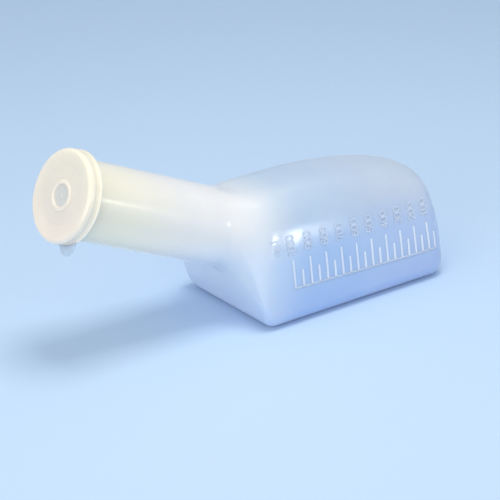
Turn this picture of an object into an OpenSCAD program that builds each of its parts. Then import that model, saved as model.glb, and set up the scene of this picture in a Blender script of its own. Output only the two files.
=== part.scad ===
// A hand-held urine bottle with a push-on lid, lying on its flat foot.
// +X runs from the mouth towards the base end, +Z is up, and the scale is on the -Y side.
// The origin is the middle of the body's length, on the plane that the foot rests on.

/* [Body] */
// Length of the body, from the front corner of its foot to its base end
body_l = 164.6; // [155:0.2:175]
// Width of the body at its foot
body_w = 100; // [94:1:106]
// Height of the crest above the foot
body_h = 92; // [88:0.5:96]
// Height of the shoulder, where the neck runs into the body
shoulder_h = 90.5; // [87:0.5:94]
// Height of the base end's flat face
base_face_h = 67.4; // [55:0.2:75]
// Share of its width that a side wall loses between the foot and the crest
side_lean = 0.22; // [0.15:0.01:0.28]
// Radius along the two long edges of the foot
foot_edge_r = 10.3; // [8:0.1:13]
// Radius of the same edges where they run up the front facet
front_edge_r = 4.5; // [3:0.1:10]
// Thickness of the moulded wall
wall = 1.6; // [1.2:0.1:2]

/* [Neck] */
// Outside diameter of the neck
neck_d = 54.5; // [52:0.5:57]
// Slope of the neck above the horizontal, in degrees
neck_angle = 23.3; // [21:0.1:25]
// Distance of the mouth in front of the foot's front corner
mouth_reach = 133.2; // [128:0.2:140]
// Height of the mouth's centre
mouth_h = 118.6; // [116:0.2:122]
// Outside diameter of the rim that the lid's skirt goes over
rim_d = 58.6; // [58:0.1:59]
// Length of the rim along the neck
rim_l = 6.2; // [5.6:0.2:7]

/* [Front] */
// How far the top of the front facet overhangs the foot
chin_overhang = 11.6; // [8:0.2:13]
// Radius of the crease between the neck and the front facet
crease_r = 12; // [8:1:14]
// Radius of the foot's front corner
front_corner_r = 10.5; // [8:0.5:12]
// Radius of the valley between the neck and the crest
valley_r = 39.5; // [30:0.5:45]

/* [Scale] */
// Volume of the top graduation, in millilitres
scale_top = 1000; // [600:100:1000]
// Mean distance between two full graduations of 100 ml
scale_step = 13.9; // [13:0.1:14]
// How far the middle graduations stand from an even spacing, towards the base end
scale_bow = 1.6; // [0:0.1:2]
// Height of the scale's base line above the foot, at the top graduation
scale_z = 26.7; // [22:0.1:30]
// How far the base line comes down towards the base end
scale_fall = 3.3; // [0:0.1:4]
// Length of a full graduation
tick_l = 19.4; // [16:0.2:22]
// Width of a graduation
tick_w = 0.9; // [0.6:0.1:1.2]
// How far a graduation stands out of the wall
tick_h = 0.5; // [0.3:0.1:0.7]

/* [Lid] */
// Widest diameter of the lid's front
lid_d = 63.4; // [62:0.2:65]
// Diameter of the flange at the skirt's open end
lid_flange_d = 64.4; // [63:0.2:66]
// Depth of the skirt behind the widest plane of the front
lid_skirt = 7.1; // [6.5:0.1:8]
// Thickness of the lid's wall
lid_wall = 1.4; // [1:0.1:1.6]
// Clearance between the lid and the bottle's rim
lid_gap = 0.08; // [0.05:0.01:0.15]
// Width of the pull tab
tab_w = 16; // [12:1:24]
// How far the pull tab stands out of the flange
tab_l = 6.6; // [5:0.2:9]
// Turn of the pull tab from the lowest point of the flange towards the scale side, in degrees
tab_turn = 22.5; // [0:0.5:180]

/* [Hidden] */

// Stations along the bottle and points around each ring
shoulder_rings = 20;
body_rings = 8;
end_rings = 12;
arch_points = 28;
corner_points = 8;
foot_points = 8;
ring_points = arch_points + 2 * corner_points + foot_points;

// Body in its own frame: front is the foot's front corner, back is the base end
front_x = -body_l / 2;
back_x = body_l / 2;
foot_half = body_w / 2;
crest_half = foot_half * (1 - side_lean);
barrel_x = front_x + 12;
crest_x = front_x + 70;
end_start_x = back_x - 28;

// Rounding of the base end: how far back each edge starts to turn, and how far it comes in
end_top_run = 107.7;
end_top_power = 1.88;
end_side_run = 14.6;
end_side_in = 9.8;
end_foot_r = 9.2;

// Superellipse powers of the arched top, at the shoulder and at the base end
arch_power_front = 3.6;
arch_power_end = 2.74;

// Neck line: the mouth's centre, and the axis from the mouth down into the body
neck_r = neck_d / 2;
mouth = [front_x - mouth_reach, mouth_h];
neck_dir = [cos(neck_angle), -sin(neck_angle)];
neck_up = [sin(neck_angle), cos(neck_angle)];
lip_under = mouth - neck_up * neck_r;
lip_top = mouth + neck_up * neck_r;
inside_mouth = 2;

// Where along the shoulder, from 0 to 1, the foot and then the crest spread to full width
foot_spread = [0.05, 0.46, 0.13];
crest_spread = [0.08, 0.5, 0.1];
square_up = 0.5;
edge_from = 0.5;
valley_lead = 20;

// How far the planes of the rings lean back at the front of the barrel; they are upright at the base end
plane_lean = 30;

// Scale: one full and one short graduation for each 100 ml, from the top one towards the base end
full_ticks = scale_top / 100;
short_tick = 0.6;
first_x = front_x + 22.8;

// Height of the widest plane of the lid's front above the lip of the mouth, and tab thickness
lid_face = 0.3;
tab_t = 1.3;

function mix(a, b, t) = a + (b - a) * t;
function clamp01(t) = max(0, min(1, t));
function smooth(t) = let (c = clamp01(t)) c * c * (3 - 2 * c);
function unit(v) = v / norm(v);
function signed_pow(v, p) = sign(v) * pow(abs(v), p);

// A ramp from 0 to 1 that starts near edge[0], ends near edge[1] and is softened by edge[2]
function soft_ramp(t, edge) =
    0.5 + (norm([t - edge[0], edge[2]]) - norm([t - edge[1], edge[2]])) / (2 * (edge[1] - edge[0]));
function ramp(t, edge) =
    (soft_ramp(t, edge) - soft_ramp(0, edge)) / (soft_ramp(1, edge) - soft_ramp(0, edge));

// The arc of radius r that rounds corner b of the path a-b-c
function rounded(a, b, c, r, steps = 10) =
    let (u = unit(a - b))
    let (v = unit(c - b))
    let (half = acos(u * v) / 2)
    let (centre = b + unit(u + v) * r / sin(half))
    let (p = b + u * r / tan(half) - centre)
    let (q = b + v * r / tan(half) - centre)
    let (turn = (180 - 2 * half) * sign(p[0] * q[1] - p[1] * q[0]))
    [for (i = [0:steps])
        let (k = turn * i / steps)
        centre + [p[0] * cos(k) - p[1] * sin(k), p[0] * sin(k) + p[1] * cos(k)]];

// Distances along a path, and the point at a distance s along it
function distances(path) =
    [for (i = 0, s = 0; i < len(path); s = s + norm(path[min(i + 1, len(path) - 1)] - path[i]), i = i + 1) s];
function along(path, s) =
    let (d = distances(path))
    [for (k = [0, 1]) lookup(s, [for (i = [0:len(path) - 1]) [d[i], path[i][k]]])];
function path_length(path) = distances(path)[len(path) - 1];

// Height of the crest line and of the foot, and half width at the foot, along the body
function crest(x) = mix(shoulder_h, body_h, smooth((x - front_x) / (crest_x - front_x)));
function top_z(x) =
    let (q = clamp01((x - back_x) / end_top_run + 1))
    base_face_h + (crest(x) - base_face_h) * pow(1 - pow(q, end_top_power), 1 / end_top_power);
function foot_z(x) =
    let (q = max(0, x - back_x + end_foot_r))
    end_foot_r - sqrt(end_foot_r * end_foot_r - q * q);
function half_w(x) =
    let (q = clamp01((x - back_x) / end_side_run + 1))
    foot_half - end_side_in * (1 - sqrt(1 - q * q));
function arch_power(x) = mix(arch_power_front, arch_power_end, clamp01((x - barrel_x) / (back_x - barrel_x)));

// Lower rail: under the neck, round the crease, down the front facet, round the corner to the foot
crease_x = front_x - chin_overhang;
crease = lip_under + neck_dir * (crease_x - lip_under[0]) / neck_dir[0];
foot_corner = [front_x + 0.9, 0];
barrel_foot = [barrel_x, 0];
lower_rail = concat([lip_under], rounded(lip_under, crease, foot_corner, crease_r),
    rounded(crease, foot_corner, barrel_foot, front_corner_r), [barrel_foot]);

// Upper rail: along the top of the neck and round the valley to the crest
barrel_top = [barrel_x + plane_lean, top_z(barrel_x + plane_lean)];
valley = lip_top + neck_dir * (lip_top[1] - shoulder_h) / -neck_dir[1];
upper_rail = concat([lip_top], rounded(lip_top, valley, barrel_top, valley_r), [barrel_top]);

lower_start = norm(lower_rail[1] - lip_under) - 4;
upper_start = norm(valley - lip_top) - valley_lead;

// Outline of one ring in unit sizes, y from -1 to 1 and z from 0 to 1, first as a circle and then
// as the body's section: an arch over two rounded edges and a flat foot
foot_arc = 35;
function circle_at(j) =
    let (c = j - arch_points)
    let (f = c - corner_points)
    let (l = f - foot_points)
    let (a = c < 0 ? 180 * j / arch_points :
        f < 0 ? 180 + (90 - foot_arc) * c / corner_points :
        l < 0 ? 270 - foot_arc + 2 * foot_arc * f / foot_points :
        270 + foot_arc + (90 - foot_arc) * l / corner_points)
    [cos(a), (1 + sin(a)) / 2];
function body_at(j, edge_y, edge_z, power) =
    let (c = j - arch_points)
    let (f = c - corner_points)
    let (l = f - foot_points)
    let (a = 180 * j / arch_points)
    let (b = 90 * c / corner_points)
    let (d = 90 * l / corner_points)
    c < 0 ? [signed_pow(cos(a), 2 / power), edge_z + (1 - edge_z) * pow(sin(a), 2 / power)] :
    f < 0 ? [-1 + edge_y * (1 - cos(b)), edge_z * (1 - sin(b))] :
    l < 0 ? [(1 - edge_y) * (2 * f / foot_points - 1), 0] :
    [1 - edge_y * (1 - sin(d)), edge_z * (1 - cos(d))];

// One ring of the skin between the rails: low and high are [x, z], square is 0 for the round neck
// and 1 for the body's section
function ring(low, high, foot, crown, square, power, edge_r = foot_edge_r) =
    let (edge = edge_r / norm(high - low))
    [for (j = [0:ring_points - 1])
        let (p = mix(circle_at(j), body_at(j, edge_r / foot, edge, power), square))
        let (rise = max(0, p[1] - edge) / (1 - edge))
        let (rail = mix(low, high, p[1]))
        [rail[0], p[0] * mix(foot, crown, rise), rail[1]]];

function neck_ring(s) = ring(lip_under + neck_dir * s, lip_top + neck_dir * s, neck_r, neck_r, 0, 2);
function shoulder_ring(t) =
    let (low = along(lower_rail, mix(lower_start, path_length(lower_rail), t)))
    let (high = along(upper_rail, mix(upper_start, path_length(upper_rail), t)))
    let (foot = mix(neck_r, foot_half, ramp(t, foot_spread)))
    let (crown = mix(neck_r, crest_half, ramp(t, crest_spread)))
    let (edge_r = mix(front_edge_r, foot_edge_r, smooth((t - edge_from) / (1 - edge_from))))
    ring(low, high, foot, crown, smooth(t / square_up), arch_power_front, edge_r);
function lean(x) = plane_lean * clamp01((end_start_x - x) / (end_start_x - barrel_x));
function body_ring(x) =
    let (high = [x + lean(x), top_z(x + lean(x))])
    ring([x, foot_z(x)], high, half_w(x), half_w(x) * (1 - side_lean), 1, arch_power(x));

outer = concat(
    [neck_ring(inside_mouth)],
    [for (i = [0:shoulder_rings - 1]) shoulder_ring(i / shoulder_rings)],
    [for (i = [0:body_rings - 1]) body_ring(mix(barrel_x, end_start_x, i / body_rings))],
    [for (i = [0:end_rings]) body_ring(mix(end_start_x, back_x, sin(90 * i / end_rings)))]);
ring_count = len(outer);

// Outward normal of the skin at point j of ring i; the last ring borders the flat base end
function normal(i, j) =
    i == ring_count - 1 ? [1, 0, 0] :
    let (run = outer[i + 1][j] - outer[max(0, i - 1)][j])
    let (turn = outer[i][(j + 1) % ring_points] - outer[i][(j + ring_points - 1) % ring_points])
    unit(cross(turn, run));
inner = [for (i = [0:ring_count - 1]) [for (j = [0:ring_points - 1]) outer[i][j] - wall * normal(i, j)]];

// Triangles between rings of a skin whose points start at first; flip turns them inside out
function skin(first, flip) =
    [for (i = [0:ring_count - 2], j = [0:ring_points - 1], half = [0, 1])
        let (a = first + i * ring_points + j)
        let (b = first + i * ring_points + (j + 1) % ring_points)
        let (c = b + ring_points)
        let (d = a + ring_points)
        let (t = half == 0 ? [a, c, b] : [a, d, c])
        flip ? [t[2], t[1], t[0]] : t];

module moulded_skin() {
    inner_first = ring_count * ring_points;
    last = (ring_count - 1) * ring_points;
    lip = [for (j = [0:ring_points - 1])
        let (k = (j + 1) % ring_points)
        [j, k, inner_first + k, inner_first + j]];
    base_outside = [[for (j = [ring_points - 1:-1:0]) last + j]];
    base_inside = [[for (j = [0:ring_points - 1]) inner_first + last + j]];
    polyhedron(
        points = concat([for (r = outer) each r], [for (r = inner) each r]),
        faces = concat(skin(0, false), skin(inner_first, true), lip, base_outside, base_inside),
        convexity = 6);
}

// Puts its children on the neck: +Z out of the mouth, +X up the neck's side, origin at the lip
module on_neck() {
    translate([mouth[0], 0, mouth[1]])
        rotate([0, neck_angle - 90, 0])
            children();
}

// Rim of the mouth: a thicker ring that holds the lid, with a rounded lip and a bead behind it
module mouth_rim() {
    rim_r = rim_d / 2;
    bore_r = neck_r - wall - 0.5;
    lip_r = (neck_r + 0.4 - bore_r) / 2;
    on_neck()
        rotate_extrude($fn = 96)
            union() {
                translate([bore_r, -rim_l])
                    square([neck_r + 0.4 - bore_r, rim_l - lip_r]);
                translate([bore_r + lip_r, -lip_r])
                    circle(r = lip_r, $fn = 32);
                translate([neck_r - 0.4, -4.6])
                    square([rim_r - neck_r - 0.8, 2.4]);
                translate([rim_r - 1.2, -3.4])
                    circle(r = 1.2, $fn = 32);
            }
}

// Half width of the outer skin at place x and height z on the body's wall: foot_x is where the ring
// through that point meets the foot, and rise is the share of the ring's arch below it
function side_y(x, z) =
    let (back = plane_lean / (end_start_x - barrel_x) * z / top_z(x))
    let (foot_x = x < end_start_x ? (x - back * end_start_x) / (1 - back) : x)
    let (high = [lean(foot_x), top_z(foot_x + lean(foot_x))])
    let (edge = foot_edge_r / norm(high))
    let (rise = (z / high[1] - edge) / (1 - edge))
    let (power = arch_power(foot_x))
    half_w(foot_x) * (1 - side_lean * rise) * pow(1 - pow(rise, power), 1 / power);

// Place of graduation k along the body, counted in full graduations from the top one
function tick_x(k) =
    first_x + k * scale_step + scale_bow * (1 - pow(abs(2 * k / (full_ticks - 1) - 1), 4));
last_x = tick_x(full_ticks - 0.5);

// Height of the scale's base line at place x
function base_line_z(x) = scale_z - scale_fall * (x - first_x) / (last_x - first_x);

// One graduation: a rib up the -Y wall from the base line
module graduation(x, height) {
    steps = 4;
    zs = [for (i = [0:steps]) base_line_z(x) + height * i / steps];
    rib = concat(
        [for (z = zs) [-side_y(x, z) - tick_h, z]],
        [for (i = [steps:-1:0]) [-side_y(x, zs[i]) + wall / 2, zs[i]]]);
    translate([x - tick_w / 2, 0, 0])
        rotate([90, 0, 90])
            linear_extrude(tick_w)
                polygon(rib);
}

// The line that joins the feet of the graduations
module base_line() {
    steps = 6;
    xs = [for (i = [0:steps]) mix(first_x, last_x, i / steps)];
    outline = concat(
        [for (x = xs) [x - first_x, -side_y(x, base_line_z(x)) - tick_h]],
        [for (i = [steps:-1:0]) [xs[i] - first_x, -side_y(xs[i], base_line_z(xs[i])) + wall / 2]]);
    translate([first_x, 0, scale_z])
        rotate([0, atan(scale_fall / (last_x - first_x)), 0])
            translate([0, 0, -tick_w / 2])
                linear_extrude(tick_w)
                    polygon(outline);
}

module graduations() {
    for (i = [0:full_ticks - 1]) {
        graduation(tick_x(i), tick_l);
        graduation(tick_x(i + 0.5), tick_l * short_tick);
    }
    base_line();
}

module bottle() {
    color("aliceblue", 0.8) {
        moulded_skin();
        mouth_rim();
        graduations();
    }
}

function arc(centre, r, from, to, steps = 8) =
    [for (i = [0:steps]) let (a = mix(from, to, i / steps)) centre + r * [cos(a), sin(a)]];

// Section of the lid, [radius, height above the lip]: a flat front with a rolled rim, a thin ring
// round a central dimple, and a skirt that ends in a thin flange
module lid_section() {
    front_r = lid_d / 2;
    flange_r = lid_flange_d / 2;
    skirt_in = rim_d / 2 + lid_gap;
    roll_r = 2.6;
    disc_z = lid_face + 1.7;
    disc_r = 20.4;
    ring_r = 9.1;
    ring_roll = 0.8;
    dimple_r = 7.9;
    under_z = disc_z - lid_wall + 0.1;
    open_z = lid_face - lid_skirt;
    outside = concat(
        [[0, disc_z - 0.3], [dimple_r, disc_z - 0.3]],
        arc([ring_r, disc_z + 0.1], ring_roll, 150, 40),
        [[ring_r + 1.3, disc_z], [disc_r, disc_z]],
        arc([front_r - roll_r, lid_face], roll_r, 118, 0),
        [[front_r - 0.9, lid_face - 3.6], [front_r - 0.5, open_z + 1.5]],
        arc([flange_r - 0.5, open_z + 0.5], 0.5, 80, -80, 6));
    inside = [[skirt_in, open_z], [skirt_in, under_z - 0.6], [skirt_in - 0.6, under_z], [0, under_z]];
    polygon(concat(outside, inside));
}

module lid() {
    color("cornsilk")
        on_neck()
            union() {
                rotate_extrude($fn = 96)
                    lid_section();
                pull_tab();
            }
}

// Pull tab: a thin tongue on the underside of the flange
module pull_tab() {
    flange_r = lid_flange_d / 2;
    translate([0, 0, lid_face - lid_skirt])
        rotate(tab_turn)
            linear_extrude(tab_t)
            difference() {
                union() {
                    translate([tab_w / 2 - flange_r - tab_l, 0])
                        circle(d = tab_w, $fn = 64);
                    translate([tab_w / 2 - flange_r - tab_l, -tab_w / 2])
                        square([tab_l, tab_w]);
                }
                circle(r = rim_d / 2 + 0.8, $fn = 96);
            }
}

bottle();
lid();
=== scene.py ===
"""Looks for a urine bottle with a push-on lid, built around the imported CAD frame."""

import math

import bmesh
import bpy
import numpy as np
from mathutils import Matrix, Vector
from mathutils.bvhtree import BVHTree


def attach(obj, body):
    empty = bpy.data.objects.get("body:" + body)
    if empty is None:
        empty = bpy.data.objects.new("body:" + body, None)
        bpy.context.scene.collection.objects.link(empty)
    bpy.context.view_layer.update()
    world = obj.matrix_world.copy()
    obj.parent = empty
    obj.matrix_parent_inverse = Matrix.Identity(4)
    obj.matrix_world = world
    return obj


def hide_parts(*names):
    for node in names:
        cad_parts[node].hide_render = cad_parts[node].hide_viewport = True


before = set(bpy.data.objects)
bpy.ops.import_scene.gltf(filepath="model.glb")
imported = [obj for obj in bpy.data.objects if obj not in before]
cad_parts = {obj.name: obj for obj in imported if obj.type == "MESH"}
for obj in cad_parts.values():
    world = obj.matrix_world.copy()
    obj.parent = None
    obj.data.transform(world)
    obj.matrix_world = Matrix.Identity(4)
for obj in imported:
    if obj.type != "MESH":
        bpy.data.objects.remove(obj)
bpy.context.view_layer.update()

MM = 0.001
WELD = 1e-7

# Sizes in millimetres, the same as the CAD part's
BODY_L, BODY_W, BODY_H = 164.6, 100.0, 92.0
SHOULDER_H, BASE_FACE_H = 90.5, 67.4
SIDE_LEAN, FOOT_EDGE_R, WALL = 0.22, 10.3, 1.6
FRONT_EDGE_R, EDGE_FROM, PLANE_LEAN = 4.5, 0.5, 30.0
NECK_R, NECK_ANGLE = 27.25, math.radians(23.3)
MOUTH_REACH, MOUTH_H = 133.2, 118.6
RIM_R = 29.3
CHIN_OVERHANG, CREASE_R, FRONT_CORNER_R, VALLEY_R = 11.6, 12.0, 10.5, 39.5
SCALE_STEP, SCALE_BOW, SCALE_Z, SCALE_FALL = 13.9, 1.6, 26.7, 3.3
TICK_L, FULL_TICKS, SHORT_TICK = 19.4, 10, 0.6
LID_R, FLANGE_R, LID_SKIRT, LID_GAP = 31.7, 32.2, 7.1, 0.08
TAB_W, TAB_L, TAB_T, TAB_TURN = 16.0, 6.6, 1.3, math.radians(22.5)
LID_FACE = 0.3

# How the looks differ from the CAD part: the scale's ribs, [width, height], and the figures over it
TICK_RIB, BASE_LINE_RIB, FIGURE_RIB = (0.9, 0.4), (0.65, 0.2), (0.55, 0.24)
FIGURE_HALF_H, FIGURE_HALF_W, FIGURE_GAP, FIGURE_FALL = 2.8, 1.55, 17.6, 0.008
FIGURE_PITCH, LONG_LABEL_PITCH, UNIT_PITCH, UNIT_PLACE = 4.1, 3.7, 5.6, -0.97

FRONT_X, BACK_X = -BODY_L / 2, BODY_L / 2
FOOT_HALF = BODY_W / 2
CREST_HALF = FOOT_HALF * (1 - SIDE_LEAN)
BARREL_X, CREST_X, END_START_X = FRONT_X + 12, FRONT_X + 70, BACK_X - 28
END_TOP_RUN, END_TOP_POWER = 107.7, 1.88
END_SIDE_RUN, END_SIDE_IN, END_FOOT_R = 14.6, 9.8, 9.2
ARCH_POWER_FRONT, ARCH_POWER_END = 3.6, 2.74
FOOT_SPREAD, CREST_SPREAD, SQUARE_UP = (0.05, 0.46, 0.13), (0.08, 0.5, 0.1), 0.5
CREASE_LEAD, VALLEY_LEAD, SKIN_START = 4.0, 20.0, 9.0
FIRST_X = FRONT_X + 22.8

MOUTH = np.array([FRONT_X - MOUTH_REACH, MOUTH_H])
NECK_DIR = np.array([math.cos(NECK_ANGLE), -math.sin(NECK_ANGLE)])
NECK_UP = np.array([math.sin(NECK_ANGLE), math.cos(NECK_ANGLE)])
LIP_UNDER, LIP_TOP = MOUTH - NECK_UP * NECK_R, MOUTH + NECK_UP * NECK_R

# Points around each ring of the skin: along the arch, round each foot edge, and across the foot
ARCH_POINTS, CORNER_POINTS, FOOT_POINTS = 128, 16, 32
NECK_RINGS, SHOULDER_RINGS, BODY_RINGS, END_RINGS = 24, 96, 44, 36


def mix(a, b, t):
    return a + (b - a) * t


def clamp01(t):
    return np.clip(t, 0.0, 1.0)


def smooth(t):
    c = clamp01(t)
    return c * c * (3 - 2 * c)


def unit(v):
    return v / np.linalg.norm(v)


def ramp(t, edge):
    """A soft ramp from 0 at t = 0 to 1 at t = 1, steep between edge[0] and edge[1], rounded by edge[2]."""
    def soft(v):
        return math.hypot(v - edge[0], edge[2]) - math.hypot(v - edge[1], edge[2])
    return (soft(t) - soft(0)) / (soft(1) - soft(0))


def arc(centre, r, start, end, steps):
    a = np.radians(np.linspace(start, end, steps + 1))
    return np.stack([centre[0] + r * np.cos(a), centre[1] + r * np.sin(a)], 1)


def rounded(points, radii, steps=8):
    """The open path through points, with each inner corner rounded to its radius."""
    points = [np.asarray(p, float) for p in points]
    out = [points[0][None]]
    for a, b, c, r in zip(points, points[1:], points[2:], radii):
        u, v = unit(a - b), unit(c - b)
        half = math.acos(np.clip(u @ v, -1, 1)) / 2
        if r <= 0 or half > math.pi / 2 - 1e-4:
            out.append(b[None])
            continue
        centre = b + unit(u + v) * r / math.sin(half)
        p, q = b + u * r / math.tan(half) - centre, b + v * r / math.tan(half) - centre
        turn = (math.pi - 2 * half) * np.sign(p[0] * q[1] - p[1] * q[0])
        k = turn * np.arange(steps + 1) / steps
        x = p[0] * np.cos(k) - p[1] * np.sin(k)
        y = p[0] * np.sin(k) + p[1] * np.cos(k)
        out.append(centre + np.stack([x, y], 1))
    out.append(points[-1][None])
    return np.concatenate(out)


def distances(path):
    return np.r_[0, np.cumsum(np.linalg.norm(np.diff(path, axis=0), axis=1))]


def along(path, s):
    """The point of a path at a distance s from its start."""
    d = distances(path)
    return np.array([np.interp(s, d, path[:, k]) for k in (0, 1)])


def crest(x):
    """Height of the body's top before the base end rounds it off."""
    return mix(SHOULDER_H, BODY_H, smooth((x - FRONT_X) / (CREST_X - FRONT_X)))


def top_z(x):
    q = clamp01((x - BACK_X) / END_TOP_RUN + 1)
    return BASE_FACE_H + (crest(x) - BASE_FACE_H) * (1 - q ** END_TOP_POWER) ** (1 / END_TOP_POWER)


def foot_z(x):
    """Height of the foot, which rises only where it rounds into the base end."""
    q = np.clip(x - BACK_X + END_FOOT_R, 0, END_FOOT_R)
    return END_FOOT_R - np.sqrt(END_FOOT_R ** 2 - q * q)


def half_w(x):
    """Half the width of the foot, drawn in at the base end."""
    q = clamp01((x - BACK_X) / END_SIDE_RUN + 1)
    return FOOT_HALF - END_SIDE_IN * (1 - np.sqrt(1 - q * q))


def arch_power(x):
    return mix(ARCH_POWER_FRONT, ARCH_POWER_END, clamp01((x - BARREL_X) / (BACK_X - BARREL_X)))


def even_arch(count, power=3.2, height=1.6):
    """Angles that share a superellipse's length evenly, from 0 up to but not including 180 degrees."""
    a = np.radians(np.linspace(0, 90, 4000))
    y, z = np.cos(a) ** (2 / power), height * np.sin(a) ** (2 / power)
    d = distances(np.stack([y, z], 1))
    quarter = np.interp(np.linspace(0, d[-1], count // 2 + 1), d, a)
    return np.r_[quarter, math.pi - quarter[-2:0:-1]]


ARCH = even_arch(ARCH_POINTS)
CORNER = np.arange(CORNER_POINTS) / CORNER_POINTS
FOOT = np.arange(FOOT_POINTS) / FOOT_POINTS
FOOT_ARC = math.radians(35)
RING_ANGLES = np.r_[
    ARCH,
    math.pi + (math.pi / 2 - FOOT_ARC) * CORNER,
    1.5 * math.pi - FOOT_ARC + 2 * FOOT_ARC * FOOT,
    1.5 * math.pi + FOOT_ARC + (math.pi / 2 - FOOT_ARC) * CORNER,
]
RING_POINTS = len(RING_ANGLES)


def body_outline(edge_y, edge_z, power):
    """The body's section in unit sizes: an arch over two rounded edges and a flat foot."""
    c, s, b = np.cos(ARCH), np.maximum(np.sin(ARCH), 0), CORNER * math.pi / 2
    arch = np.stack([np.sign(c) * np.abs(c) ** (2 / power), edge_z + (1 - edge_z) * s ** (2 / power)], 1)
    left = np.stack([-1 + edge_y * (1 - np.cos(b)), edge_z * (1 - np.sin(b))], 1)
    foot = np.stack([(1 - edge_y) * (2 * FOOT - 1), 0 * FOOT], 1)
    right = np.stack([1 - edge_y * (1 - np.sin(b)), edge_z * (1 - np.cos(b))], 1)
    return np.concatenate([arch, left, foot, right])


CIRCLE_OUTLINE = np.stack([np.cos(RING_ANGLES), (1 + np.sin(RING_ANGLES)) / 2], 1)


def ring(low, high, foot, crown, square, power, edge_r=FOOT_EDGE_R):
    """One ring of the skin between the lower and the upper rail, both [x, z]."""
    edge = edge_r / np.linalg.norm(high - low)
    p = mix(CIRCLE_OUTLINE, body_outline(edge_r / foot, edge, power), square)
    rise = np.maximum(0, p[:, 1] - edge) / (1 - edge)
    rail = mix(low[None], high[None], p[:, 1:2])
    return np.stack([rail[:, 0], p[:, 0] * mix(foot, crown, rise), rail[:, 1]], 1)


def on_neck(radius, height, angles=RING_ANGLES):
    """A circle round the neck's axis at a height above the lip, in the part's frame."""
    centre = MOUTH - NECK_DIR * height
    up = radius * np.sin(angles)
    return np.stack([centre[0] + up * NECK_UP[0], radius * np.cos(angles), centre[1] + up * NECK_UP[1]], 1)


def rails():
    """The lowest and the highest line of the skin, [x, z], and where the shoulder starts along each."""
    crease_x = FRONT_X - CHIN_OVERHANG
    crease = LIP_UNDER + NECK_DIR * (crease_x - LIP_UNDER[0]) / NECK_DIR[0]
    lower = rounded(
        [LIP_UNDER, crease, (FRONT_X + 0.9, 0), (BARREL_X, 0)], [CREASE_R, FRONT_CORNER_R], 40)
    valley = LIP_TOP + NECK_DIR * (LIP_TOP[1] - SHOULDER_H) / -NECK_DIR[1]
    crest_end = BARREL_X + PLANE_LEAN
    upper = rounded([LIP_TOP, valley, (crest_end, top_z(crest_end))], [VALLEY_R], 40)
    lower_start = np.linalg.norm(lower[1] - LIP_UNDER) - CREASE_LEAD
    upper_start = np.linalg.norm(valley - LIP_TOP) - VALLEY_LEAD
    return lower, upper, lower_start, upper_start


def outer_skin():
    """Rings of the outer skin, from SKIN_START behind the lip to the base end."""
    lower, upper, lower_start, upper_start = rails()
    lower_end, upper_end = distances(lower)[-1], distances(upper)[-1]
    out = []
    for t in np.arange(NECK_RINGS) / NECK_RINGS:
        low = along(lower, mix(SKIN_START, lower_start, t))
        high = along(upper, mix(SKIN_START, upper_start, t))
        out.append(ring(low, high, NECK_R, NECK_R, 0, 2))
    for t in np.arange(SHOULDER_RINGS) / SHOULDER_RINGS:
        low = along(lower, mix(lower_start, lower_end, t))
        high = along(upper, mix(upper_start, upper_end, t))
        foot = mix(NECK_R, FOOT_HALF, ramp(t, FOOT_SPREAD))
        crown = mix(NECK_R, CREST_HALF, ramp(t, CREST_SPREAD))
        edge_r = mix(FRONT_EDGE_R, FOOT_EDGE_R, smooth((t - EDGE_FROM) / (1 - EDGE_FROM)))
        out.append(ring(low, high, foot, crown, smooth(t / SQUARE_UP), ARCH_POWER_FRONT, edge_r))
    stations = np.r_[
        mix(BARREL_X, END_START_X, np.arange(BODY_RINGS) / BODY_RINGS),
        mix(END_START_X, BACK_X, np.sin(np.linspace(0, math.pi / 2, END_RINGS + 1))),
    ]
    for x in stations:
        top_x = x + PLANE_LEAN * clamp01((END_START_X - x) / (END_START_X - BARREL_X))
        low, high = np.array([x, foot_z(x)]), np.array([top_x, top_z(top_x)])
        out.append(ring(low, high, half_w(x), half_w(top_x) * (1 - SIDE_LEAN), 1, arch_power(x)))
    return np.array(out)


def skin_normals(rings):
    """Outward normals of the skin, square to the flat base end on the last ring."""
    run = np.empty_like(rings)
    run[1:-1] = rings[2:] - rings[:-2]
    run[0] = rings[1] - rings[0]
    run[-1] = run[-2]
    n = np.cross(np.roll(rings, -1, 1) - np.roll(rings, 1, 1), run)
    n /= np.linalg.norm(n, axis=2, keepdims=True)
    n[-1] = (1, 0, 0)
    return n


def cap(ring_points, shares=(0.985, 0.95, 0.86, 0.7, 0.5, 0.3, 0.12)):
    """Smaller and smaller rings that close the flat base end, and its middle point."""
    middle = np.array([ring_points[0, 0], 0, (ring_points[:, 2].min() + ring_points[:, 2].max()) / 2])
    loops = [middle + (ring_points - middle) * s for s in shares]
    return loops, middle


def face_outwards(mesh):
    """Weld a closed mesh's coincident points and turn all its faces outwards."""
    shape = bmesh.new()
    shape.from_mesh(mesh)
    bmesh.ops.remove_doubles(shape, verts=shape.verts, dist=WELD)
    bmesh.ops.recalc_face_normals(shape, faces=shape.faces)
    shape.to_mesh(mesh)
    shape.free()


def mesh_object(name, verts, faces, material, closed=True):
    """A smooth-shaded object from verts in millimetres."""
    mesh = bpy.data.meshes.new(name)
    mesh.from_pydata((np.asarray(verts) * MM).tolist(), [], [tuple(map(int, f)) for f in faces])
    if closed:
        face_outwards(mesh)
    mesh.polygons.foreach_set("use_smooth", [True] * len(mesh.polygons))
    mesh.materials.append(material)
    mesh.update()
    obj = bpy.data.objects.new(name, mesh)
    bpy.context.scene.collection.objects.link(obj)
    return obj


def tube_faces(first, rings, points):
    """Quads of a skin of rings, facing out of a skin whose rings run along +X with rising angle."""
    i, j = np.meshgrid(np.arange(rings - 1), np.arange(points), indexing="ij")
    a = first + i * points + j
    b = first + i * points + (j + 1) % points
    return np.stack([a, a + points, b + points, b], 2).reshape(-1, 4)


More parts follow.
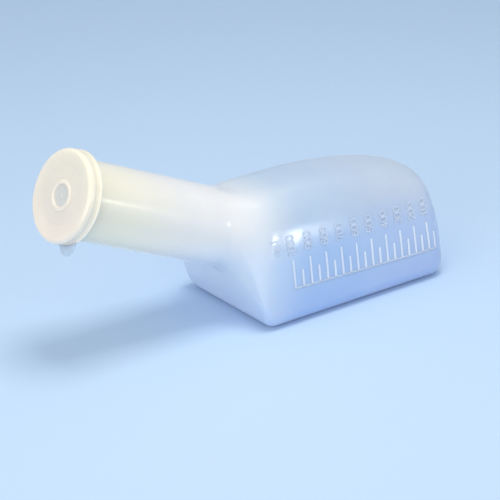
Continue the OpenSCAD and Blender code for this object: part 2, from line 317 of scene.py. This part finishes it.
def fan_faces(loop_first, points, middle, flip):
    """Triangles that close a ring on its middle point."""
    j = np.arange(points)
    a, b = loop_first + j, loop_first + (j + 1) % points
    return [(x, middle, y) if flip else (x, y, middle) for x, y in zip(b, a)]


def bottle_mesh(material):
    """The moulded skin with its wall thickness, the rim of the mouth and the flat base end."""
    lip_out, lip_in, bore = NECK_R + 0.4, NECK_R - WALL - 0.5, NECK_R - WALL
    rim = rounded(
        [(NECK_R, 0.6 - SKIN_START), (NECK_R, -6.7), (lip_out, -5.9), (lip_out, -4.55), (RIM_R, -4.5),
         (RIM_R, -2.3), (lip_out, -2.2), (lip_out, 0), (lip_in, 0), (lip_in, -6.4), (bore, -7.4),
         (bore, 0.6 - SKIN_START)],
        [0.8, 0.6, 0.35, 0.95, 0.95, 0.35, 1.2, 1.2, 1.0, 0.8], 6)
    outer = outer_skin()
    inner = outer - WALL * skin_normals(outer)
    out_loops, out_middle = cap(outer[-1])
    in_loops, in_middle = cap(inner[-1])
    lips = [on_neck(r, h) for r, h in rim]
    rings = in_loops[::-1] + list(inner[::-1]) + lips[::-1] + list(outer) + out_loops
    verts = np.concatenate(rings + [in_middle[None], out_middle[None]])
    count = len(rings)
    faces = list(tube_faces(0, count, RING_POINTS))
    faces += fan_faces(0, RING_POINTS, count * RING_POINTS, True)
    faces += fan_faces((count - 1) * RING_POINTS, RING_POINTS, count * RING_POINTS + 1, False)
    return mesh_object("bottle_shell", verts, faces, material)


def ellipse(cx, cy, rx, ry, start=0, end=360, steps=18):
    a = np.radians(np.linspace(start, end, steps + 1))
    return np.stack([cx + rx * np.cos(a), cy + ry * np.sin(a)], 1)


def strokes(*paths):
    """Strokes of one figure. Each path is a list of points and arcs that are joined end to end."""
    return [np.concatenate([np.atleast_2d(np.asarray(p, float)) for p in path]) for path in paths]


# The scale's figures, each in a box 1 wide and 2 high round its middle
FIGURES = {
    "0": strokes([
        ellipse(0, 0.45, 0.5, 0.55, 0, 180, 10), ellipse(0, -0.45, 0.5, 0.55, 180, 360, 10), (0.5, 0.45)]),
    "1": strokes([(-0.3, 0.62), (0.08, 1), (0.08, -1)]),
    "2": strokes([ellipse(0, 0.48, 0.5, 0.52, 170, -30, 12), (-0.5, -1), (0.52, -1)]),
    "3": strokes(
        [ellipse(-0.02, 0.5, 0.48, 0.5, 150, -90, 12)], [ellipse(-0.02, -0.5, 0.52, 0.5, 90, -150, 12)]),
    "4": strokes([(0.25, -1), (0.25, 1), (-0.55, -0.45), (0.55, -0.45)]),
    "5": strokes([(0.45, 1), (-0.4, 1), (-0.45, 0.1), ellipse(-0.02, -0.38, 0.5, 0.62, 125, -145, 14)]),
    "6": strokes([ellipse(0, -0.42, 0.5, 0.58)], [ellipse(0.1, -0.1, 0.6, 1.1, 180, 75, 10)]),
    "7": strokes([(-0.5, 1), (0.5, 1), (-0.15, -1)]),
    "8": strokes([ellipse(0, 0.5, 0.42, 0.5)], [ellipse(0, -0.5, 0.52, 0.5)]),
    "9": strokes([ellipse(0, 0.42, 0.5, 0.58)], [ellipse(-0.1, 0.1, 0.6, 1.1, 0, -105, 10)]),
    "m": strokes(
        [(-1.0, -1), (-1.0, 0.3)], [ellipse(-0.5, -0.2, 0.5, 0.5, 180, 0, 8), (0, -1)],
        [ellipse(0.5, -0.2, 0.5, 0.5, 180, 0, 8), (1.0, -1)]),
    "l": strokes([(0, 1), (0, -1)]),
}


def tick_x(k):
    """Place of graduation k along the body, counted in full graduations from the top one."""
    return FIRST_X + k * SCALE_STEP + SCALE_BOW * (1 - abs(2 * k / (FULL_TICKS - 1) - 1) ** 4)


LAST_X = tick_x(FULL_TICKS - 0.5)


def base_line_z(x):
    return SCALE_Z - SCALE_FALL * (x - FIRST_X) / (LAST_X - FIRST_X)


def tick_paths():
    """A long graduation every 100 ml and a short one half way to the next."""
    out = []
    for i in range(FULL_TICKS):
        for x, height in ((tick_x(i), TICK_L), (tick_x(i + 0.5), TICK_L * SHORT_TICK)):
            z = base_line_z(x)
            out.append(np.array([(x, z), (x, z + height)]))
    return out


def label_paths(text, x, pitch):
    """Strokes of a label that runs up the wall and ends level with its neighbours."""
    end = base_line_z(x) + TICK_L + FIGURE_GAP - FIGURE_FALL * (x - FIRST_X)
    out = []
    for k, mark in enumerate(reversed(text)):
        z = end - FIGURE_HALF_W - k * pitch
        for path in FIGURES[mark]:
            out.append(np.stack([x - path[:, 1] * FIGURE_HALF_H, z + path[:, 0] * 2 * FIGURE_HALF_W], 1))
    return out


def figure_paths():
    """The unit and the figures over the graduations, upright when the bottle stands on its base end."""
    out = label_paths("ml", FIRST_X + UNIT_PLACE * SCALE_STEP, UNIT_PITCH)
    for i in range(FULL_TICKS):
        text = str(1000 - 100 * i)
        out += label_paths(text, tick_x(i), LONG_LABEL_PITCH if len(text) > 3 else FIGURE_PITCH)
    return out


def distance_field(paths, reach, step):
    """Distance to the nearest path from each point of a square grid that lies within reach of one."""
    field = {}
    for path in paths:
        for a, b in zip(path, path[1:]):
            lo = np.floor((np.minimum(a, b) - reach) / step).astype(int)
            hi = np.ceil((np.maximum(a, b) + reach) / step).astype(int)
            gx, gz = np.meshgrid(np.arange(lo[0], hi[0] + 1), np.arange(lo[1], hi[1] + 1), indexing="ij")
            p = np.stack([gx, gz], 2) * step
            ab = b - a
            t = clamp01(((p - a) @ ab) / max(ab @ ab, 1e-9))
            d = np.linalg.norm(p - (a + t[..., None] * ab), axis=2)
            for i, j, v in zip(gx.ravel(), gz.ravel(), d.ravel()):
                if v < reach + step and v < field.get((i, j), 1e9):
                    field[(i, j)] = v
    return field


def corners_of(i, j):
    return (i, j), (i + 1, j), (i + 1, j + 1), (i, j + 1)


def relief(name, paths, skin, rib, material, step=0.2, sunk=0.4):
    """A closed solid of rounded ribs that follow paths, [x, z], on the -Y wall of the skin. rib is the
    width and the height of a rib, and the solid goes sunk deep into the wall."""
    width, height = rib
    reach = width * 0.75
    field = distance_field(paths, reach, step)
    cells = set()
    for cell in field:
        near = corners_of(*cell)
        if all(c in field for c in near) and min(field[c] for c in near) < reach:
            cells.add(cell)
    used = sorted({c for cell in cells for c in corners_of(*cell)})
    index = {c: n for n, c in enumerate(used)}
    top, bottom = [], []
    for c in used:
        x, z = c[0] * step, c[1] * step
        hit, normal, _, _ = skin.ray_cast(Vector((x, -200, z)), Vector((0, 1, 0)))
        share = min(1.0, field[c] / reach)
        rise = -0.1 + (height + 0.1) * (0.5 + 0.5 * math.cos(math.pi * share)) ** 0.8
        top.append(hit + normal * rise)
        bottom.append(hit - normal * sunk)
    n = len(used)
    faces = []
    for i, j in sorted(cells):
        a, b, c, d = (index[k] for k in corners_of(i, j))
        faces += [(a, b, c, d), (n + a, n + d, n + c, n + b)]
        sides = ((a, b, (i, j - 1)), (b, c, (i + 1, j)), (c, d, (i, j + 1)), (d, a, (i - 1, j)))
        faces += [(q, p, n + p, n + q) for p, q, other in sides if other not in cells]
    return mesh_object(name, np.array(top + bottom), faces, material)


def ray_target(rings):
    """The skin as a target for rays."""
    verts = [tuple(p) for p in rings.reshape(-1, 3)]
    faces = [tuple(map(int, f)) for f in tube_faces(0, len(rings), rings.shape[1])]
    return BVHTree.FromPolygons(verts, faces)


def revolve(profile, steps=160):
    """Verts and faces of a closed profile, [radius, height above the lip], turned round the neck's axis."""
    angles = np.arange(steps) * 2 * math.pi / steps
    first_axis, last_axis = profile[0][0] < 1e-6, profile[-1][0] < 1e-6
    body = profile[1 if first_axis else 0: -1 if last_axis else None]
    verts = np.concatenate([on_neck(r, h, angles) for r, h in body])
    faces = list(tube_faces(0, len(body), steps)[:, ::-1])
    ends = []
    if first_axis:
        ends.append(on_neck(0, profile[0][1], angles[:1]))
        faces += fan_faces(0, steps, len(verts), False)
    if last_axis:
        ends.append(on_neck(0, profile[-1][1], angles[:1]))
        faces += fan_faces(len(verts) - steps, steps, len(verts) + len(ends) - 1, True)
    return np.concatenate([verts] + ends), faces


def lid_profile():
    """Section of the lid, [radius, height above the lip]: down the outside, then back inside the skirt."""
    open_z, disc, under = LID_FACE - LID_SKIRT, LID_FACE + 1.7, LID_FACE + 0.4
    skirt_in = RIM_R + LID_GAP
    outside = rounded(
        [(0, disc + 0.05), (0.7, disc + 0.05), (1.2, disc - 0.3), (7.6, disc - 0.3), (8.2, disc + 0.9),
         (10.0, disc + 0.8), (10.7, disc), (20.4, disc), (27.4, disc + 0.75), (29.6, disc + 0.92),
         (LID_R, LID_FACE + 1.4), (LID_R, LID_FACE - 1.3), (30.75, LID_FACE - 3.4), (31.1, open_z + 1.6),
         (31.5, open_z + 1.05), (FLANGE_R, open_z + 0.95), (FLANGE_R, open_z)],
        [0.25, 0.3, 0.5, 0.5, 0.6, 0.6, 3.0, 3.0, 1.4, 2.0, 1.2, 1.2, 0.4, 0.2, 0.35], 8)
    inside = rounded(
        [(FLANGE_R, open_z), (skirt_in + 0.3, open_z), (skirt_in, open_z + 0.4), (skirt_in, under - 0.6),
         (skirt_in - 0.6, under), (0, under)],
        [0.3, 0.2, 0.2, 0.3], 5)
    return np.concatenate([outside, inside[1:]])


def push_on_lid(material):
    return mesh_object("push_on_lid", *revolve(lid_profile()), material)


def tab_outline():
    """The tab's edge, [x, y] with the lid's axis at 0, and the points of its root under the flange."""
    tip_r, fillet, root_r = TAB_W / 2, 2.0, 30.4
    tip_x = FLANGE_R + TAB_L - tip_r
    fillet_x = ((FLANGE_R + fillet) ** 2 + tip_x * tip_x - (tip_r + fillet) ** 2) / (2 * tip_x)
    fillet_y = math.sqrt((FLANGE_R + fillet) ** 2 - fillet_x * fillet_x)
    on_flange = math.degrees(math.atan2(-fillet_y, -fillet_x))
    on_tip = math.degrees(math.atan2(-fillet_y, tip_x - fillet_x))
    side = arc((fillet_x, fillet_y), fillet, on_flange, on_tip, 8)
    tip_from = math.degrees(math.atan2(fillet_y, fillet_x - tip_x))
    tip = arc((tip_x, 0), tip_r, tip_from, -tip_from, 48)
    edge = np.concatenate([side, tip[1:-1], (side * (1, -1))[::-1]])
    spread = np.arctan2(edge[:, 1], edge[:, 0])
    return edge, root_r * np.stack([np.cos(spread), np.sin(spread)], 1)


def tab_rows():
    """Rows of points from the tab's edge to its root, each with half the thickness there: a rounded
    bead round the edge and a thinner middle."""
    bead_r, thin_share, least_length = 0.65, 0.35, 4.4
    edge, root = tab_outline()
    length = np.linalg.norm(edge - root, axis=1)
    rows = []
    for d in (0, 0.05, 0.18, 0.38, 0.65, 0.95, 1.3, 1.7, 2.2, 3.0, 4.0):
        share = d / np.maximum(length, least_length)[:, None]
        bead = math.sqrt(1 - (1 - min(d / bead_r, 1)) ** 2)
        thin = 1 - thin_share * float(smooth((d - 1.3) / 1.1))
        rows.append((mix(edge, root, share), TAB_T / 2 * bead * thin))
    rows.append((root, TAB_T / 2 * (1 - thin_share)))
    return rows


def pull_tab(material):
    """The tab as a closed solid: an upper and a lower side, joined at both ends and at the root."""
    rows = tab_rows()
    middle, turn = LID_FACE - LID_SKIRT + TAB_T / 2, -math.pi / 2 - TAB_TURN
    verts = []
    for side in (1, -1):
        for row, half_t in rows:
            for x, y in row:
                angle = np.array([turn + math.atan2(y, x)])
                verts.append(on_neck(math.hypot(x, y), middle + side * half_t, angle)[0])
    n, m = len(rows), len(rows[0][0])
    lower = n * m
    faces = []
    for i in range(n - 1):
        for j in range(m - 1):
            a = i * m + j
            quad = (a, a + 1, a + 1 + m, a + m)
            faces += [quad[::-1], tuple(lower + k for k in quad)]
        for j in (0, m - 1):
            a, b = i * m + j, (i + 1) * m + j
            quad = (a, b, b + lower, a + lower)
            faces.append(quad if j == 0 else quad[::-1])
    for a in range(lower - m, lower - 1):
        faces.append((a + lower, a + 1 + lower, a + 1, a))
    return mesh_object("pull_tab", verts, faces, material)


def new_material(name):
    m = bpy.data.materials.new(name)
    m.use_nodes = True
    return m, m.node_tree.nodes, m.node_tree.links, m.node_tree.nodes["Principled BSDF"]


def add(nodes, kind, **values):
    """A node with its inputs and properties set by name; spaces in names are underscores."""
    n = nodes.new(kind)
    for key, v in values.items():
        if hasattr(n, key):
            setattr(n, key, v)
        else:
            n.inputs[key.replace("_", " ")].default_value = v
    return n


WHITE = (1.0, 1.0, 1.0)


def colour_ramp(nodes, stops):
    """A colour ramp through stops, (place, colour), given in rising order of place."""
    n = nodes.new("ShaderNodeValToRGB")
    n.color_ramp.interpolation = "EASE"
    for _ in stops[2:]:
        n.color_ramp.elements.new(0.5)
    for i, (place, colour) in enumerate(stops):
        n.color_ramp.elements[i].position = place
        n.color_ramp.elements[i].color = (*colour, 1)
    return n


def placed_ramp(nodes, links, value, start, end, stops):
    """A colour ramp driven by a value that runs from start to end."""
    share = add(nodes, "ShaderNodeMapRange", From_Min=start, From_Max=end)
    links.new(value, share.inputs["Value"])
    n = colour_ramp(nodes, stops)
    links.new(share.outputs[0], n.inputs[0])
    return n.outputs[0]


def noise(nodes, links, place, scale, detail):
    n = add(nodes, "ShaderNodeTexNoise", Scale=scale, Detail=detail, Roughness=0.5)
    links.new(place, n.inputs["Vector"])
    return n.outputs[0]


def multiplied(nodes, links, a, b):
    n = add(nodes, "ShaderNodeMix", data_type="RGBA", blend_type="MULTIPLY", Factor=1.0)
    links.new(a, n.inputs[6])
    links.new(b, n.inputs[7])
    return n.outputs[2]


def plastic(name, tones, sss, radius, roughness, clear, shaded_dimple_middle=None):
    """Moulded polyethylene: a tone that changes along and up the part, partly the plastic's own and partly
    painted light and shade, cloudy, with a faintly uneven gloss and surface. tones is a pair of (start,
    end, stops), over X and over Z, in metres. The last argument, if given, is the middle of the lid's
    dimple, which is painted darker and bluer there as painted shade."""
    m, nodes, links, p = new_material(name)
    place = add(nodes, "ShaderNodeTexCoord").outputs["Object"]
    split = add(nodes, "ShaderNodeSeparateXYZ")
    links.new(place, split.inputs[0])
    base = placed_ramp(nodes, links, split.outputs["X"], *tones[0])
    shade = placed_ramp(nodes, links, split.outputs["Z"], *tones[1])
    cloud = placed_ramp(nodes, links, noise(nodes, links, place, 14, 3), 0.3, 0.7, CLOUD)
    tone = multiplied(nodes, links, multiplied(nodes, links, base, shade), cloud)
    # Painted shade: darker and bluer round the middle of the lid's dimple
    if shaded_dimple_middle:
        far = add(nodes, "ShaderNodeVectorMath", operation="DISTANCE")
        far.inputs[1].default_value = shaded_dimple_middle
        links.new(place, far.inputs[0])
        thin = placed_ramp(nodes, links, far.outputs["Value"], *DIMPLE_SHADE_REACH, DIMPLE_SHADE)
        tone = multiplied(nodes, links, tone, thin)
    links.new(tone, p.inputs["Base Color"])
    gloss = add(nodes, "ShaderNodeMapRange", From_Min=0.25, From_Max=0.75)
    gloss.inputs["To Min"].default_value = roughness - 0.03
    gloss.inputs["To Max"].default_value = roughness + 0.04
    links.new(noise(nodes, links, place, 26, 2), gloss.inputs["Value"])
    links.new(gloss.outputs[0], p.inputs["Roughness"])
    broad = add(nodes, "ShaderNodeBump", Strength=0.2, Distance=0.001)
    links.new(noise(nodes, links, place, 34, 1), broad.inputs["Height"])
    fine = add(nodes, "ShaderNodeBump", Strength=0.1, Distance=0.00015)
    links.new(noise(nodes, links, place, 320, 1), fine.inputs["Height"])
    links.new(broad.outputs[0], fine.inputs["Normal"])
    links.new(fine.outputs[0], p.inputs["Normal"])
    p.inputs["Subsurface Weight"].default_value = sss
    p.inputs["Subsurface Radius"].default_value = (1.0, 1.0, 1.0)
    p.inputs["Subsurface Scale"].default_value = radius
    p.inputs["Transmission Weight"].default_value = clear
    p.inputs["IOR"].default_value = 1.5
    p.inputs["Sheen Weight"].default_value = 0.3
    p.inputs["Sheen Roughness"].default_value = 0.35
    return m


CLOUD = [(0.0, (0.90, 0.93, 0.97)), (1.0, WHITE)]
# Painted shade in the lid's dimple: darker and bluer out to the first reach, fading to none by the second,
# in metres
DIMPLE_SHADE, DIMPLE_SHADE_REACH = [(0.0, (0.80, 0.90, 1.0)), (1.0, WHITE)], (0.0066, 0.0086)
# Warm white at the mouth end and blue along the body: partly the milky plastic's own tone, partly painted
# light, warm light on the neck and blue light through the body's wall
WARM, MILK, COOL, DEEP = (1.0, 0.92, 0.79), (0.91, 0.92, 1.0), (0.53, 0.66, 0.89), (0.55, 0.64, 0.84)

# Tones along X from the mouth to the base end, and up Z from the foot. Up Z they are painted light and
# shade: darker and bluer at the foot as painted shade, lighter and warmer on top as painted light from
# above
BOTTLE_TONES_AND_LIGHT = (
    (-0.20, 0.06, [(0.0, WARM), (0.36, MILK), (0.6, COOL), (1.0, DEEP)]),
    (0.0, 0.075, [(0.0, (0.72, 0.81, 0.97)), (0.55, (0.81, 0.90, 1.0)), (1.0, (1.0, 0.98, 0.89))]),
)
# The lid's cream, a little warmer towards its face: partly its own tone, partly painted warm light as on
# the neck. Up Z it is faintly bluer low down: painted shade
LID_TONES_AND_LIGHT = (
    (-0.235, -0.19, [(0.0, (0.99, 0.85, 0.71)), (1.0, (1.0, 0.90, 0.70))]),
    (0.08, 0.15, [(0.0, (0.98, 0.98, 1.0)), (1.0, WHITE)]),
)
EVEN = (0.0, 0.2, [(0.0, WHITE), (1.0, WHITE)])
# The scale's ribs and figures are painted lighter than the wall round them: a painted highlight where the
# ribs catch the light
TICK_HIGHLIGHT_TONES = (-0.1, 0.1, [(0.0, (0.70, 0.79, 0.96)), (1.0, (0.74, 0.82, 0.96))]), EVEN
FIGURE_HIGHLIGHT_TONES = (-0.1, 0.1, [(0.0, (0.60, 0.71, 0.92)), (1.0, (0.62, 0.73, 0.92))]), EVEN
# The thin tab is painted blue, unlike the cream lid: painted light coming through it
TAB_LIT_THROUGH_TONES = (-0.3, -0.1, [(0.0, (0.72, 0.85, 1.0)), (1.0, (0.74, 0.86, 1.0))]), EVEN

bottle_plastic = plastic("milky_polyethylene", BOTTLE_TONES_AND_LIGHT, 0.75, 0.003, 0.18, 0.07)
tick_plastic = plastic("milky_polyethylene_ticks", TICK_HIGHLIGHT_TONES, 0.5, 0.002, 0.34, 0.0)
figure_plastic = plastic("milky_polyethylene_figures", FIGURE_HIGHLIGHT_TONES, 0.5, 0.002, 0.34, 0.1)
lid_plastic = plastic(
    "cream_polyethylene", LID_TONES_AND_LIGHT, 0.7, 0.003, 0.32, 0.08, Vector((MOUTH[0] * MM, 0, MOUTH[1] * MM)))
tab_plastic = plastic("thin_cream_polyethylene", TAB_LIT_THROUGH_TONES, 0.6, 0.004, 0.34, 0.45)

bottle = bottle_mesh(bottle_plastic)
skin = ray_target(outer_skin())
base_line = [np.array([(x, base_line_z(x)) for x in (FIRST_X, LAST_X)])]
marks = [
    relief("scale_graduations", tick_paths(), skin, TICK_RIB, tick_plastic),
    relief("scale_base_line", base_line, skin, BASE_LINE_RIB, figure_plastic),
    relief("scale_figures", figure_paths(), skin, FIGURE_RIB, figure_plastic, 0.15),
]
lid, tab = push_on_lid(lid_plastic), pull_tab(tab_plastic)

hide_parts("bottle")
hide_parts("lid")
for piece in [bottle] + marks:
    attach(piece, "bottle")
for piece in (lid, tab):
    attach(piece, "lid")


CAMERA_PLACE, CAMERA_TARGET = Vector((-0.8217, -0.9985, 0.5835)), Vector((-0.06324, 0, 0.04045))
LENS, SENSOR_W = 138.45, 36


def sweep(name, material):
    """A pale floor that curves up into a backdrop behind the bottle."""
    away = Vector((0.605, 0.796, 0)).normalized()
    side = Vector((away.y, -away.x, 0))
    path = rounded([(-3.0, 0), (2.6, 0), (2.6, 3.0)], [1.2], 24)
    verts, faces = [], []
    for s in (-4.0, 4.0):
        for run, height in path:
            p = away * run + side * s
            verts.append((p.x / MM, p.y / MM, height / MM))
    n = len(path)
    for i in range(n - 1):
        faces.append((i + n, i + n + 1, i + 1, i))
    return mesh_object(name, verts, faces, material, closed=False)


def floor_paint():
    m, _, _, p = new_material("pale_floor")
    p.inputs["Base Color"].default_value = (0.52, 0.68, 0.88, 1)
    p.inputs["Roughness"].default_value = 0.65
    return m


def sky():
    """Even pale light from all round."""
    world = bpy.data.worlds.new("studio")
    world.use_nodes = True
    background = world.node_tree.nodes["Background"]
    background.inputs["Color"].default_value = (0.98, 0.99, 1.0, 1)
    background.inputs["Strength"].default_value = 0.70
    return world


def place_at(data, place, target):
    """An object for a light or a camera that looks from place to target."""
    obj = bpy.data.objects.new(data.name, data)
    obj.location = place
    obj.rotation_mode = "QUATERNION"
    obj.rotation_quaternion = (Vector(target) - Vector(place)).to_track_quat("-Z", "Y")
    bpy.context.scene.collection.objects.link(obj)
    return obj


def area(name, place, target, size, power, colour):
    data = bpy.data.lights.new(name, "AREA")
    data.shape = "RECTANGLE"
    data.size, data.size_y = size
    data.energy = power
    data.color = colour
    place_at(data, place, target)


floor = sweep("floor", floor_paint())
bpy.context.scene.world = sky()

area("overhead_softbox", (-0.05, -0.12, 1.0), (-0.05, 0, 0), (0.5, 0.35), 4.2, (1.0, 0.98, 0.95))
area("front_softbox", (0.565, -1.0, 0.205), (-0.05, -0.04, 0.06), (0.13, 0.15), 1.6, (1.0, 1.0, 1.0))
area("left_fill", (-1.38, -0.58, 0.42), (-0.1, 0, 0.06), (0.9, 0.7), 6.8, (1.0, 0.97, 0.93))

camera = bpy.data.cameras.new("camera")
camera.lens, camera.sensor_width = LENS, SENSOR_W
bpy.context.scene.camera = place_at(camera, CAMERA_PLACE, CAMERA_TARGET)
bpy.context.scene.view_settings.view_transform = "Standard"
